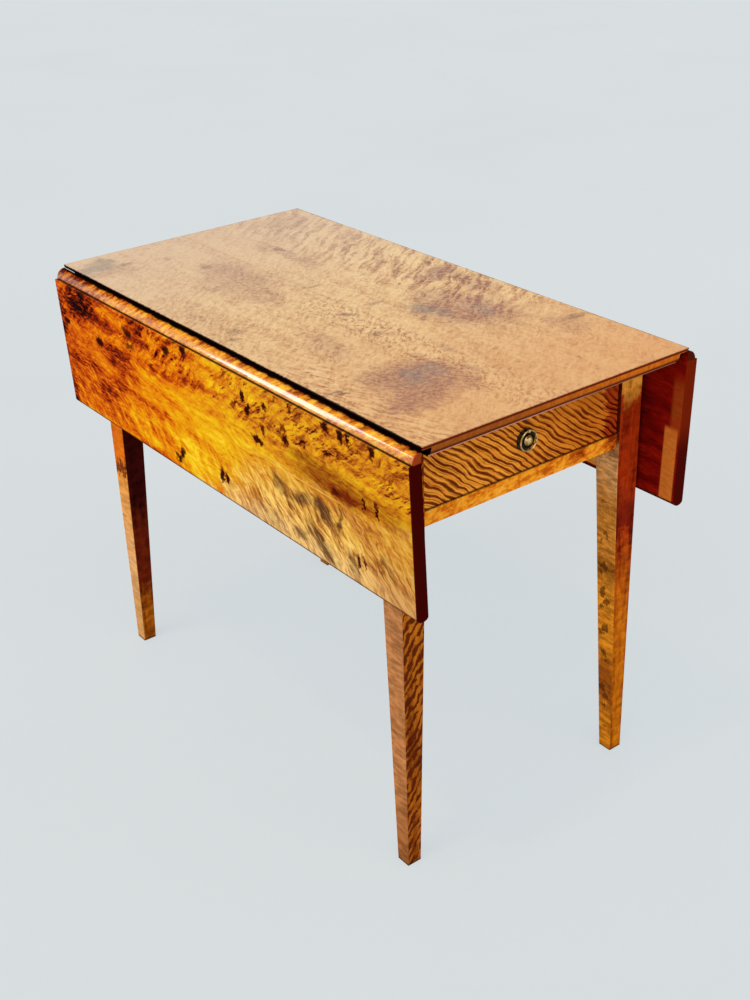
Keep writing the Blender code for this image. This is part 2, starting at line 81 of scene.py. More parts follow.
class Value:
    """One socket of a node tree. Sums and products of values add their Math nodes."""

    def __init__(self, nodes, socket):
        self.nodes = nodes
        self.socket = socket

    def other(self, name):
        """Another output of the same node."""
        return Value(self.nodes, self.socket.node.outputs[name])

    def math(self, operation, first, second=0.0):
        return self.nodes.node("ShaderNodeMath", {"operation": operation}, {0: first, 1: second})

    def __add__(self, other):
        return self.math("ADD", self, other)

    def __radd__(self, other):
        return self.math("ADD", other, self)

    def __sub__(self, other):
        return self.math("SUBTRACT", self, other)

    def __rsub__(self, other):
        return self.math("SUBTRACT", other, self)

    def __mul__(self, other):
        return self.math("MULTIPLY", self, other)

    def __rmul__(self, other):
        return self.math("MULTIPLY", other, self)

    def __truediv__(self, other):
        return self.math("DIVIDE", self, other)

    def __rtruediv__(self, other):
        return self.math("DIVIDE", other, self)

    def __abs__(self):
        return self.math("ABSOLUTE", self)

    def __or__(self, other):
        return self.math("MAXIMUM", self, other)

    def __and__(self, other):
        return self.math("MINIMUM", self, other)

    def sine(self):
        return self.math("SINE", self)


class Nodes:
    """A node tree in the making. Every node in it comes from node()."""

    def __init__(self, tree):
        self.tree = tree
        tree.nodes.clear()

    def node(self, kind, settings=None, sockets=None, out=0):
        made = self.tree.nodes.new(kind)
        for key, value in (settings or {}).items():
            if key == "stops":
                ramp = made.color_ramp
                while len(ramp.elements) < len(value):
                    ramp.elements.new(1.0)
                for element, (at, colour) in zip(ramp.elements, value):
                    element.position = at
                    element.color = colour
            else:
                setattr(made, key, value)
        for key, value in (sockets or {}).items():
            if isinstance(value, Value):
                self.tree.links.new(value.socket, made.inputs[key])
            else:
                made.inputs[key].default_value = value
        return Value(self, made.outputs[out]) if made.outputs else None

    def seen(self):
        """1 for what the camera, mirrors and glass see, 0 for what only lights the table."""
        path = self.node("ShaderNodeLightPath", None, None, "Is Camera Ray")
        return path | path.other("Is Glossy Ray") | path.other("Is Transmission Ray")


class Finish(Nodes):
    """A material in the making."""

    SEED_STEP = (0.37, 1.93, 0.71)

    def __init__(self, name):
        self.material = bpy.data.materials.new(name)
        self.material.use_nodes = True
        super().__init__(self.material.node_tree)

    def place(self):
        """The three Object coordinates, each a value."""
        at = self.node("ShaderNodeTexCoord", None, None, "Object")
        split = self.node("ShaderNodeSeparateXYZ", None, {0: at})
        return [split.other(i) for i in range(3)]

    def vector(self, x, y, z):
        return self.node("ShaderNodeCombineXYZ", None, {0: x, 1: y, 2: z})

    def laid(self, at, size, turn=0.0, centre=(0.0, 0.0, 0.0)):
        """Coordinates about a centre, turned in the board's face and measured in steps of size."""
        sockets = {"Vector": at, "Location": centre, "Rotation": (0.0, 0.0, turn), "Scale": size}
        return self.node("ShaderNodeMapping", {"vector_type": "TEXTURE"}, sockets)

    def noise(self, at, size, turn=0.0, seed=0, detail=2.0, rough=0.5, out=0):
        """Noise of a size along, across and through the board. Each seed is another part of it."""
        centre = tuple(step * seed for step in self.SEED_STEP)
        sockets = {"Vector": self.laid(at, size, turn, centre), "Scale": 1.0, "Detail": detail,
                   "Roughness": rough}
        return self.node("ShaderNodeTexNoise", None, sockets, out)

    def figure(self, at, size, turn, seed, spread, detail=4.0, rough=0.62):
        """Noise with its contrast drawn out to run from 0 to 1, evenly about 0.5."""
        return self.step(self.noise(at, size, turn, seed, detail, rough), 0.5 - spread, 0.5 + spread)

    def swayed(self, at, size, by, seed, detail):
        """Coordinates pushed about by a soft noise, so that figure drawn on them wanders."""
        push = self.noise(at, size, seed=seed, detail=detail, rough=0.55, out=1)
        middle = self.node("ShaderNodeVectorMath", {"operation": "SUBTRACT"}, {0: push, 1: (0.5, 0.5, 0.5)})
        sockets = {0: middle, 1: by, 2: at}
        return self.node("ShaderNodeVectorMath", {"operation": "MULTIPLY_ADD"}, sockets)

    def step(self, value, low, high):
        """Rises smoothly from 0 to 1 between low and high, or falls where low is the larger."""
        return self.node("ShaderNodeMapRange", {"interpolation_type": "SMOOTHSTEP"},
                         {"Value": value, "From Min": low, "From Max": high})

    def within(self, value, low, high, soft):
        """1 between low and high, 0 outside, with edges of width soft."""
        return self.step(value, low - soft, low) * self.step(value, high + soft, high)

    def reach(self, at, centre, half, turn):
        """Distance from a centre in the board's face: 1 on an oval of the half length and half width."""
        local = self.laid(at, (half[0], half[1], 1.0), turn, (centre[0], centre[1], 0.0))
        return self.node("ShaderNodeVectorMath", {"operation": "LENGTH"}, {0: local}, 1)

    def mark(self, at, centre, half, turn, soft):
        """A soft oval in the board's face: 1 inside, 0 outside."""
        return self.step(self.reach(at, centre, half, turn), 1.0, 1.0 - soft)

    def marks(self, at, rows, soft):
        """Several ovals, each (along, across, half length, half width, turn, strength), as one mask."""
        total = None
        for along, across, long, wide, turn, strength in rows:
            oval = self.mark(at, (along, across), (long, wide), math.radians(turn), soft) * strength
            total = oval if total is None else total | oval
        return total

    def mix(self, share, first, second, blend="MIX"):
        return self.node("ShaderNodeMix", {"data_type": "RGBA", "blend_type": blend},
                         {0: share, 6: first, 7: second}, 2)

    def ramp(self, value, stops):
        return self.node("ShaderNodeValToRGB", {"stops": stops}, {0: value})

    def bump(self, height, strength, reach):
        sockets = {"Strength": strength, "Distance": reach, "Height": height}
        return self.node("ShaderNodeBump", None, sockets)

    def surface(self, **sockets):
        """Closes the finish with a Principled surface and returns the material."""
        names = {key.replace("_", " "): value for key, value in sockets.items()}
        surface = self.node("ShaderNodeBsdfPrincipled", None, names)
        self.node("ShaderNodeOutputMaterial", None, {"Surface": surface})
        return self.material


# Placed figure. Each row is an oval: along, across, half length, half width, turn in degrees, strength.

TOP_CLOUDS = [
    (0.200, -0.070, 0.150, 0.066, 4, 0.45), (0.110, -0.075, 0.060, 0.040, 25, 0.50),
    (-0.315, -0.122, 0.100, 0.088, 20, 1.0), (-0.365, -0.172, 0.060, 0.045, 35, 1.0),
    (-0.330, -0.070, 0.095, 0.046, 0, 0.65), (-0.150, 0.118, 0.115, 0.082, -25, 0.90),
    (-0.085, 0.115, 0.060, 0.070, -40, 0.55), (0.012, 0.190, 0.034, 0.062, -15, 1.0),
    (-0.075, 0.200, 0.05, 0.05, 0, 0.5), (0.420, 0.170, 0.065, 0.070, 0, 0.35),
    (-0.300, 0.190, 0.05, 0.04, 0, 0.40), (0.380, -0.195, 0.03, 0.06, 0, 0.4),
    (0.270, 0.070, 0.130, 0.022, 0, 0.45), (-0.130, -0.130, 0.09, 0.030, 10, 0.40)]
# Dark figure greyed by a painted sheen.
TOP_GREYS = [
    (0.420, -0.208, 0.036, 0.050, 0, 1.0), (0.440, -0.186, 0.040, 0.022, 0, 1.0),
    (-0.306, -0.108, 0.044, 0.036, 40, 0.90), (-0.300, -0.074, 0.022, 0.026, 20, 0.7),
    (-0.108, 0.064, 0.046, 0.028, -20, 1.0), (-0.178, 0.135, 0.030, 0.026, 25, 0.75)]
TOP_KNOTS = [
    (0.407, -0.166, 0.011, 0.028, -5, 0.6), (-0.275, -0.226, 0.008, 0.028, 5, 0.75),
    (-0.286, -0.216, 0.006, 0.024, 5, 0.7), (0.008, -0.198, 0.020, 0.020, 30, 0.6),
    (-0.018, -0.220, 0.008, 0.020, 20, 0.5), (-0.046, -0.032, 0.024, 0.013, -40, 0.8),
    (-0.140, -0.048, 0.014, 0.020, 10, 0.6), (-0.138, 0.043, 0.007, 0.020, -35, 0.8),
    (-0.285, 0.217, 0.013, 0.030, 0, 0.7), (-0.035, 0.030, 0.008, 0.028, 10, 0.6),
    (0.094, 0.006, 0.008, 0.022, 0, 0.6), (0.300, -0.070, 0.016, 0.016, 0, 0.5),
    (0.385, -0.098, 0.016, 0.010, 0, 0.4), (-0.255, -0.010, 0.03, 0.010, 0, 0.4),
    (-0.34, -0.03, 0.03, 0.012, 0, 0.4), (-0.402, 0.107, 0.012, 0.004, 0, 0.6),
    (0.292, 0.075, 0.020, 0.010, -20, 0.6), (-0.02, 0.21, 0.012, 0.03, -20, 0.6)]

LEAF_GOLD = [
    (0.010, -0.120, 0.150, 0.060, 0, 1.0), (0.060, -0.195, 0.150, 0.070, 0, 1.2),
    (0.175, -0.190, 0.120, 0.060, 0, 0.7), (0.170, -0.110, 0.100, 0.045, 0, 0.4),
    (-0.035, -0.165, 0.070, 0.040, 0, 0.8), (0.120, -0.165, 0.070, 0.040, 0, 0.6),
    (-0.210, -0.055, 0.050, 0.026, 0, 0.5), (-0.375, -0.055, 0.055, 0.026, 0, 0.6)]
LEAF_DROPS = [
    (0.459, -0.070, 0.018, 0.008, 10, 0.9), (0.342, -0.077, 0.021, 0.012, 5, 1.0),
    (0.115, -0.023, 0.019, 0.013, -15, 0.9), (0.059, -0.005, 0.016, 0.013, 30, 1.0),
    (-0.102, -0.030, 0.009, 0.015, -10, 0.95), (-0.112, -0.046, 0.008, 0.018, 25, 1.0),
    (-0.131, -0.087, 0.021, 0.0085, 12, 1.0), (-0.158, -0.027, 0.011, 0.010, 30, 0.8),
    (-0.148, -0.067, 0.009, 0.015, -20, 0.7), (-0.205, -0.063, 0.014, 0.012, 0, 0.85),
    (-0.222, -0.006, 0.006, 0.013, 0, 0.75), (-0.305, -0.006, 0.012, 0.016, 20, 1.0),
    (-0.338, -0.008, 0.011, 0.020, 0, 1.0), (-0.354, -0.007, 0.007, 0.018, 0, 0.9),
    (-0.405, -0.007, 0.009, 0.020, 0, 0.95),
    (-0.381, -0.093, 0.0048, 0.017, 0, 0.9), (-0.408, -0.093, 0.0048, 0.017, 0, 0.9),
    (-0.318, -0.100, 0.024, 0.009, 0, 0.7), (-0.345, -0.092, 0.011, 0.010, 0, 0.6),
    (0.103, -0.196, 0.011, 0.019, 25, 0.85), (0.115, -0.208, 0.017, 0.010, 10, 0.8),
    (-0.016, -0.190, 0.010, 0.021, 10, 0.95), (-0.030, -0.188, 0.008, 0.017, 0, 0.9),
    (-0.361, -0.190, 0.0050, 0.017, 0, 0.85), (-0.374, -0.186, 0.0050, 0.015, 0, 0.75),
    (0.235, -0.030, 0.028, 0.013, 20, 0.75), (0.235, -0.052, 0.026, 0.010, 0, 0.6),
    (-0.200, -0.045, 0.013, 0.013, 30, 0.6), (-0.072, -0.052, 0.011, 0.011, 40, 0.5)]
LEAF_SHADES = [
    (0.400, -0.020, 0.085, 0.042, 0, 1.5), (0.480, -0.060, 0.024, 0.090, 0, 1.0),
    (0.280, -0.085, 0.080, 0.042, 5, 0.75), (0.400, -0.128, 0.090, 0.030, -8, 0.55),
    (0.210, -0.020, 0.060, 0.030, 0, 0.40), (0.480, -0.200, 0.030, 0.060, 0, 0.6),
    (0.090, -0.048, 0.120, 0.020, 0, 0.40), (-0.125, -0.140, 0.06, 0.018, 0, 0.30),
    (0.33, -0.16, 0.06, 0.03, 0, 0.35), (0.285, -0.130, 0.060, 0.034, 0, 0.55)]
LEAF_BROWN = [
    (-0.320, -0.090, 0.150, 0.034, 0, 0.9), (-0.335, -0.098, 0.060, 0.016, 0, 1.3),
    (-0.250, -0.072, 0.050, 0.014, 0, 1.0), (-0.435, -0.092, 0.070, 0.024, 0, 0.6)]
LEAF_HEARTS = [
    (-0.181, -0.142, 0.040, 0.015, 32, 0.9), (-0.231, -0.143, 0.042, 0.017, -25, 1.0),
    (-0.285, -0.145, 0.044, 0.018, 30, 1.1), (-0.321, -0.141, 0.030, 0.009, 85, 1.0),
    (-0.275, -0.198, 0.056, 0.020, 35, 0.9), (-0.221, -0.207, 0.022, 0.016, 20, 0.8),
    (-0.345, -0.200, 0.036, 0.011, 55, 0.7), (-0.110, -0.192, 0.022, 0.008, 35, 0.6),
    (-0.425, -0.170, 0.034, 0.011, 60, 0.6), (-0.150, -0.210, 0.034, 0.011, 40, 0.5)]

FRONT_RAIL_PATCHES = [
    (0.105, 0.577, 0.030, 0.020, 20, 0.30), (0.180, 0.577, 0.030, 0.03, 0, 0.35)]
RIGHT_LEG_SPOTS = [
    (0.466, -0.388, 0.006, 0.010, 20, 0.5), (0.412, -0.394, 0.007, 0.012, -35, 0.6),
    (0.398, -0.385, 0.005, 0.007, 10, 0.5), (0.352, -0.391, 0.010, 0.014, 25, 1.0),
    (0.340, -0.384, 0.006, 0.008, 0, 0.7), (0.304, -0.389, 0.014, 0.009, -20, 1.0),
    (0.288, -0.398, 0.008, 0.013, 40, 0.9), (0.276, -0.388, 0.006, 0.008, 0, 0.6),
    (0.238, -0.396, 0.011, 0.013, 25, 1.0), (0.226, -0.387, 0.007, 0.009, -20, 0.8),
    (0.190, -0.394, 0.008, 0.012, -15, 0.9), (0.178, -0.401, 0.006, 0.008, 20, 0.6),
    (0.122, -0.394, 0.012, 0.011, 10, 1.0), (0.108, -0.401, 0.007, 0.009, 0, 0.9),
    (0.086, -0.397, 0.006, 0.008, 30, 0.6), (0.045, -0.399, 0.006, 0.008, 0, 0.4)]


# Finishes.

def grain(f, at, seed):
    """Fine fibres and pores along the board: a value about 0.5."""
    fibre = f.noise(at, (0.060, 0.0016, 0.0016), seed=seed, rough=0.6)
    pore = f.noise(at, (0.0060, 0.0007, 0.0007), seed=seed + 1, detail=1.0)
    return fibre * 0.65 + pore * 0.35


def varnished(f, colour, fibre, worn=0.0, coat=0.03, gloss=0.28, coat_ior=1.45):
    """Aged, hand-rubbed varnish over wood. All of its shine is in the coat."""
    x, y, z = f.place()
    at = f.vector(x, y, z)
    cloud = f.noise(at, (0.07, 0.07, 0.07), seed=11, detail=3.0, rough=0.6)
    rough = gloss + (cloud - 0.5) * 0.16 + (fibre - 0.5) * 0.10 + worn * 0.2
    swell = f.noise(at, (0.045, 0.045, 0.045), seed=12, detail=1.0)
    height = swell * 0.8 + fibre * 0.2
    return f.surface(Base_Color=colour, Roughness=rough, Specular_IOR_Level=0.0, Coat_Weight=coat,
                     Coat_Roughness=0.10, Coat_IOR=coat_ior,
                     Normal=f.bump(height, strength=0.25, reach=0.0006))


def top_finish():
    """The fixed top: pale and clouded, with ripple, knots, a glued seam, moulded ends and painted shade in
    the coves.
    """
    f = Finish("top_flame_birch")
    x, y, z = f.place()
    at = f.vector(y, x, z)
    face = f.vector(y, x, 0.0)
    fibre = grain(f, at, 1)
    swayed = f.swayed(at, (0.06, 0.05, 0.05), (0.034, 0.026, 0.0), seed=3, detail=3.0)
    loose = f.swayed(face, (0.035, 0.035, 0.035), (0.080, 0.080, 0.0), seed=4, detail=6.0)
    tight = f.swayed(face, (0.010, 0.010, 0.010), (0.018, 0.018, 0.0), seed=5, detail=4.0)

    tone = f.figure(swayed, (0.20, 0.036, 0.05), 0.0, seed=6, spread=0.22)
    ripple = f.figure(swayed, (0.0100, 0.066, 0.05), -0.62, seed=7, spread=0.13, detail=3.0)
    ripple_front = f.figure(swayed, (0.030, 0.0062, 0.05), -0.35, seed=8, spread=0.14)
    curl = f.figure(swayed, (0.0048, 0.0150, 0.02), -0.75, seed=9, spread=0.16, detail=3.0)
    speckle = f.figure(swayed, (0.0075, 0.0060, 0.01), -0.7, seed=10, spread=0.16, rough=0.66)

    right_side = f.step(x, 0.05, 0.14) * f.step(y, -0.27, -0.16)
    left_front = f.step(x, -0.165, -0.205) * f.step(y, -0.12, -0.22)
    seam_band = f.step(x, -0.090, -0.045) * f.step(x, 0.001, -0.006) * f.step(y, 0.10, -0.06)
    flame = ((ripple - 0.5) * (0.14 + right_side * 0.38)
             + (ripple_front - 0.5) * (0.11 + left_front * 0.52)
             + (curl - 0.5) * (0.26 + seam_band * 0.28))

    clouds = f.marks(loose, TOP_CLOUDS, soft=0.60)
    greys = f.marks(loose, TOP_GREYS, soft=0.70)
    knots = f.marks(tight, TOP_KNOTS, soft=0.8)
    pale = f.mark(loose, (0.060, 0.030), (0.200, 0.070), turn=0.0, soft=0.8)
    depth = (0.38 + (tone - 0.5) * 0.20 + flame + (fibre - 0.5) * 0.18 - pale * 0.05
             + (speckle - 0.5) * (0.16 + seam_band * 0.18 + clouds * 0.30) + clouds * 0.14)
    colour = f.ramp(depth, [
        (0.0, tint(247, 214, 155)), (0.30, tint(234, 193, 137)), (0.50, tint(215, 167, 112)),
        (0.72, tint(172, 120, 82)), (1.0, tint(112, 68, 50))])

    # Cooler and paler to the back, a painted sheen; warmer to the front and its right corner.
    colour = f.mix(f.step(y, -0.05, 0.46) * 0.52, colour, tint(219, 191, 167))
    colour = f.mix(f.step(y, 0.05, -0.50) * 0.46, colour, tint(225, 153, 81))
    right_corner = f.step(x, -0.02, 0.20) * f.step(y, -0.26, -0.46)
    colour = f.mix(right_corner * 0.22, colour, tint(232, 149, 71))
    colour = f.mix(clouds * (0.42 + speckle * 0.24), colour, tint(152, 96, 84))
    # Grey spots: dark figure greyed by a painted sheen.
    colour = f.mix(greys * (0.40 + speckle * 0.22), colour, tint(122, 112, 108))
    colour = f.mix(knots * (0.55 + speckle * 0.35), colour, tint(104, 54, 38))

    # The glued seam, pale with a faint shade beside it, and the worn arrises.
    seam = f.step(abs(x + SEAM_LEFT), 0.0016, 0.0005) * (0.35 + f.step(y, -0.10, 0.06) * 0.65)
    colour = f.mix(seam * 0.40, colour, tint(238, 202, 146))
    beside = f.step(x, -0.016, -0.0065) * f.step(x, -0.0055, -0.0060)
    colour = f.mix(beside * 0.16, colour, tint(150, 100, 66))
    arris = (f.step(abs(x), PIN_X - 0.0022, PIN_X - 0.0004)
             | f.step(abs(y), TOP_HALF_LONG - 0.0018, TOP_HALF_LONG - 0.0002))
    colour = f.mix(arris * (0.35 + speckle * 0.35), colour, tint(120, 54, 22))
    # Painted shade: a ragged dark line along the long edges, at the gap to the leaves.
    ragged = f.step(abs(x) + (tone - 0.5) * 0.0022 + (speckle - 0.5) * 0.0012,
                    PIN_X - 0.0009, PIN_X - 0.0002)
    colour = f.mix(ragged * 0.85, colour, tint(34, 12, 6))

    # Moulded ends: a dark fillet, an ovolo darkened downwards by painted shade, and under it a pale fillet, a
    # painted highlight.
    drop = TOP_Z - z
    moulding = f.mix(f.step(x, -0.16, 0.14), tint(160, 86, 26), tint(216, 112, 20))
    moulding = f.mix(speckle * 0.45, moulding, tint(124, 52, 12))
    moulding = f.mix(f.step(drop, 0.0105, 0.0150) * 0.88, moulding, tint(72, 18, 8))
    moulding = f.mix(f.step(drop, 0.0054, 0.0040) * 0.94, moulding, tint(98, 24, 8))
    # The pale line on the lowest fillet is a painted highlight, stronger to the left.
    worn = f.step(drop, 0.0184, 0.0188) * (0.85 - f.step(x, -0.02, 0.10) * 0.55)
    moulding = f.mix(worn, moulding, tint(214, 156, 132))
    end = (f.step(abs(y), TOP_HALF_LONG - 0.0120, TOP_HALF_LONG - 0.0095)
           * f.step(drop, 0.0003, 0.0008))
    colour = f.mix(end, colour, moulding)

    # The plainer underside, and painted shade along the lip and in the coves.
    under = (f.step(z, PIN_Z + 0.0012, PIN_Z + 0.0002)
             * f.step(abs(y), TOP_HALF_LONG - 0.0082, TOP_HALF_LONG - 0.0090))
    plain = f.ramp(tone, [(0.1, tint(176, 118, 66)), (0.9, tint(128, 78, 40))])
    colour = f.mix(under * 0.85, colour, plain)
    lip = f.step(abs(x), PIN_X - 0.0010, PIN_X - 0.0004) * f.step(drop, 0.0003, 0.0010)
    cove = f.step(abs(x), PIN_X - 0.0168, PIN_X - 0.0160) * f.step(drop, LIP - 0.0004, LIP + 0.0002)
    colour = f.mix(lip | cove, colour, tint(14, 5, 3))
    coat = 0.62 * (1.0 - (under | lip | cove | end * 0.9))
    return varnished(f, colour, fibre, worn=under, coat=coat, gloss=0.30)


def near_leaf_corner(f, colour, y, v, loose, swayed, tone, slant, seed):
    """The near leaf's pale, feathered corner with its brown hearts: the colour, and where it is pale."""
    border = v + (tone - 0.5) * 0.016 - f.step(y, -0.38, -0.47) * 0.014
    pale = (f.step(y + v * 1.5 + (tone - 0.5) * 0.07 + (slant - 0.5) * 0.09, -0.265, -0.420)
            * f.step(border, -0.100, -0.124))
    feather = f.figure(swayed, (0.0052, 0.026, 0.04), -0.80, seed, spread=0.13, rough=0.64)
    beige = f.ramp(slant * 0.38 + feather * 0.44 + tone * 0.18, [
        (0.18, tint(248, 210, 116)), (0.42, tint(228, 178, 84)), (0.63, tint(184, 124, 52)),
        (0.86, tint(94, 52, 22))])
    beige = f.mix(f.step(v, -0.175, -0.218) * (0.55 - feather * 0.25), beige, tint(240, 204, 144))
    beige = f.mix(f.step(y, -0.31, -0.45) * 0.45, beige, tint(166, 92, 28))
    colour = f.mix(pale * (0.46 + f.step(v, -0.125, -0.180) * 0.46), colour, beige)
    hearts = f.marks(loose, LEAF_HEARTS, soft=0.65)
    colour = f.mix(hearts * pale * (0.50 + slant * 0.25 + feather * 0.45), colour, tint(92, 52, 20))
    glue_line = f.step(abs(v + 0.113), 0.0014, 0.0005) * f.step(y, -0.13, -0.17) * f.step(y, -0.36, -0.29)
    colour = f.mix(glue_line * 0.45, colour, tint(244, 196, 100))
    return colour, pale


def leaf_finish(name, seed, near):
    """A leaf. The placed figure is on the near one, and the far one has its own plainer figure."""
    f = Finish(name)
    x, y, z = f.place()
    out = abs(x) - PIN_X
    rise = z - PIN_Z
    u = out * TILT_COS - rise * TILT_SIN
    v = out * TILT_SIN + rise * TILT_COS
    at = f.vector(y, v, u)
    face = f.vector(y, v, 0.0)
    fibre = grain(f, at, seed + 1)
    swayed = f.swayed(at, (0.05, 0.035, 0.04), (0.028, 0.020, 0.0), seed + 2, detail=3.0)
    loose = f.swayed(face, (0.030, 0.024, 0.030), (0.054, 0.036, 0.0), seed + 3, detail=5.0)
    tight = f.swayed(face, (0.0070, 0.0070, 0.0070), (0.022, 0.022, 0.0), seed + 4, detail=5.0)

    tone = f.figure(swayed, (0.14, 0.020, 0.04), 0.06, seed + 5, spread=0.20, detail=5.0, rough=0.65)
    fleck = f.figure(swayed, (0.017, 0.0042, 0.01), 0.10, seed + 8, spread=0.20, detail=5.0, rough=0.68)
    flame = f.figure(swayed, (0.0095, 0.034, 0.04), 0.95, seed + 6, spread=0.15, detail=5.0, rough=0.68)
    slant = f.figure(swayed, (0.0150, 0.060, 0.04), -0.75, seed + 7, spread=0.15, detail=5.0, rough=0.66)
    strokes = f.noise(swayed, (0.0048, 0.026, 0.04), 0.95, seed + 9, detail=4.0, rough=0.60)
    stroke = f.step(strokes, 0.52, 0.66)
    cluster = f.figure(swayed, (0.050, 0.022, 0.04), 0.3, seed + 10, spread=0.16, detail=2.0)

    top_band = f.step(v, -0.095, -0.045) * (0.45 + f.step(y, 0.27, 0.12) * 0.55)
    low_band = f.step(v, -0.10, -0.17)
    base = (0.38 + f.step(y, 0.03, 0.22) * 0.13 + f.step(y, 0.22, 0.46) * 0.05
            + f.step(y, -0.10, -0.30) * 0.05 + top_band * 0.05)
    drops, shades = LEAF_DROPS, LEAF_SHADES
    if not near:
        drops = [(-row[0], row[1] * 0.8 - 0.02) + row[2:] for row in LEAF_DROPS[::2]]
        shades = [(-row[0], row[1]) + row[2:] for row in LEAF_SHADES]
    gold = f.marks(loose, LEAF_GOLD, soft=0.9)
    dark = f.marks(tight, drops, soft=0.75)
    shade = f.marks(loose, shades, soft=0.85)

    depth = (base + (tone - 0.5) * 0.30 + (fleck - 0.5) * (0.25 - top_band * 0.10) - gold * 0.15
             + shade * (0.18 + fleck * 0.20)
             + (flame - 0.5) * (0.08 + top_band * (0.16 + cluster * 0.24))
             + (slant - 0.5) * (0.09 + low_band * 0.20)
             + stroke * top_band * (0.14 + cluster * 0.34) + (fibre - 0.5) * 0.18)
    if near:
        eye = f.reach(swayed, (-0.091, -0.097), (0.060, 0.020), turn=0.06)
        depth = depth + (eye * 13.0).sine() * f.step(eye, 1.8, 0.5) * 0.09
    colour = f.ramp(depth, [
        (0.00, tint(244, 206, 44)), (0.18, tint(231, 178, 16)), (0.34, tint(222, 148, 12)),
        (0.50, tint(212, 106, 10)), (0.64, tint(180, 68, 8)), (0.78, tint(122, 32, 6)),
        (0.92, tint(52, 8, 4)), (1.00, tint(24, 4, 3))])
    coat = 0.0
    if near:
        golden = f.ramp(depth, [
            (0.00, tint(240, 204, 46)), (0.18, tint(228, 182, 24)), (0.34, tint(218, 158, 24)),
            (0.50, tint(202, 124, 26)), (0.64, tint(162, 84, 20)), (0.78, tint(108, 46, 12)),
            (0.92, tint(48, 14, 6)), (1.00, tint(24, 5, 3))])
        colour = f.mix(f.step(y, 0.14, -0.20), colour, golden)
        brown = f.marks(loose, LEAF_BROWN, soft=0.7)
        colour = f.mix(brown * (0.42 + tone * 0.24 + fleck * 0.34), colour, tint(110, 36, 8))
        colour, pale = near_leaf_corner(f, colour, y, v, loose, swayed, tone, slant, seed + 12)
        coat = pale * 0.08
    colour = f.mix(f.step(dark, 0.05, 0.55) * 0.85, colour, tint(122, 40, 9), "DARKEN")
    colour = f.mix(f.step(dark, 0.40, 0.85) * 0.95, colour, tint(34, 6, 3))

    # The round of the rule joint, and the underside, darker red partly as painted shade.
    round_over = f.step(v, -0.0010, 0.0008)
    barred = f.vector(y + v * 1.3, v * 0.8, 0.0)
    bar = f.figure(barred, (0.0120, 0.012, 1.0), 0.0, seed + 11, spread=0.15, detail=6.0, rough=0.74)
    round_depth = (bar * 0.55 + fleck * 0.2 + f.step(y, 0.24, 0.46) * 0.40
                   + f.step(v, 0.0080, 0.0150) * bar * 0.3)
    colour = f.mix(round_over * 0.90, colour, f.ramp(round_depth, [
        (0.10, tint(248, 190, 56)), (0.42, tint(224, 138, 32)), (0.75, tint(156, 68, 15)),
        (1.0, tint(70, 18, 6))]))
    under = f.step(u, 0.0085, 0.0015)
    colour = f.mix(under, colour, f.ramp(tone * 0.6 + fleck * 0.4, [
        (0.05, tint(150, 26, 9)), (0.50, tint(118, 12, 6)), (0.95, tint(74, 6, 3))]))
    if not near:
        # Painted light: a golden patch of light by the near end of the far leaf's underside, with a fainter
        # trail.
        bright = f.within(y, -0.4750, -0.4535, soft=0.003) * f.step(v, -0.106, -0.114) * under
        lit_patch_trail = f.within(y, -0.4800, -0.4660, soft=0.008) * f.within(v, -0.106, -0.050, soft=0.03) * under
        colour = f.mix(bright * (0.62 + fleck * 0.38), colour, tint(212, 122, 44))
        colour = f.mix(lit_patch_trail * (0.15 + fleck * 0.30 + tone * 0.30), colour, tint(176, 84, 28))

    # The nose and the ends, and painted shade in the corner of the ledge and under the top's lip.
    nose = f.step(v, LEAF_LOW + 0.0090, LEAF_LOW + 0.0060)
    colour = f.mix(nose * 0.90, colour, tint(60, 14, 5))
    end = f.step(abs(y), TOP_HALF_LONG - 0.0025, TOP_HALF_LONG - 0.0010)
    if near:
        end_grain = tint(60, 6, 4)
        round_end = tint(150, 60, 24)
    else:
        end_grain = f.mix(f.step(v, -0.09, -0.15), tint(112, 30, 8), tint(70, 11, 7))
        round_end = tint(78, 22, 9)
    colour = f.mix(end, colour, f.mix(round_over, end_grain, round_end))
    ledge_corner_shade = f.step(abs(v + 0.0004), 0.0012, 0.0005) * f.step(u, 0.0188, 0.0176) * f.step(u, 0.0138, 0.0146)
    colour = f.mix(ledge_corner_shade * 0.92, colour, tint(16, 4, 3))
    under_lip_shade = f.step(v + (fleck - 0.5) * 0.0010, 0.0139, 0.0146)
    colour = f.mix(under_lip_shade, colour, tint(14, 5, 3))
    shine = round_over * f.step(v, 0.0128, 0.0080) * f.step(u, 0.0030, 0.0060)
    coat = (0.01 + coat + shine * 0.99) * (1.0 - end)
    return varnished(f, colour, fibre, coat=coat, gloss=0.30, coat_ior=1.8)


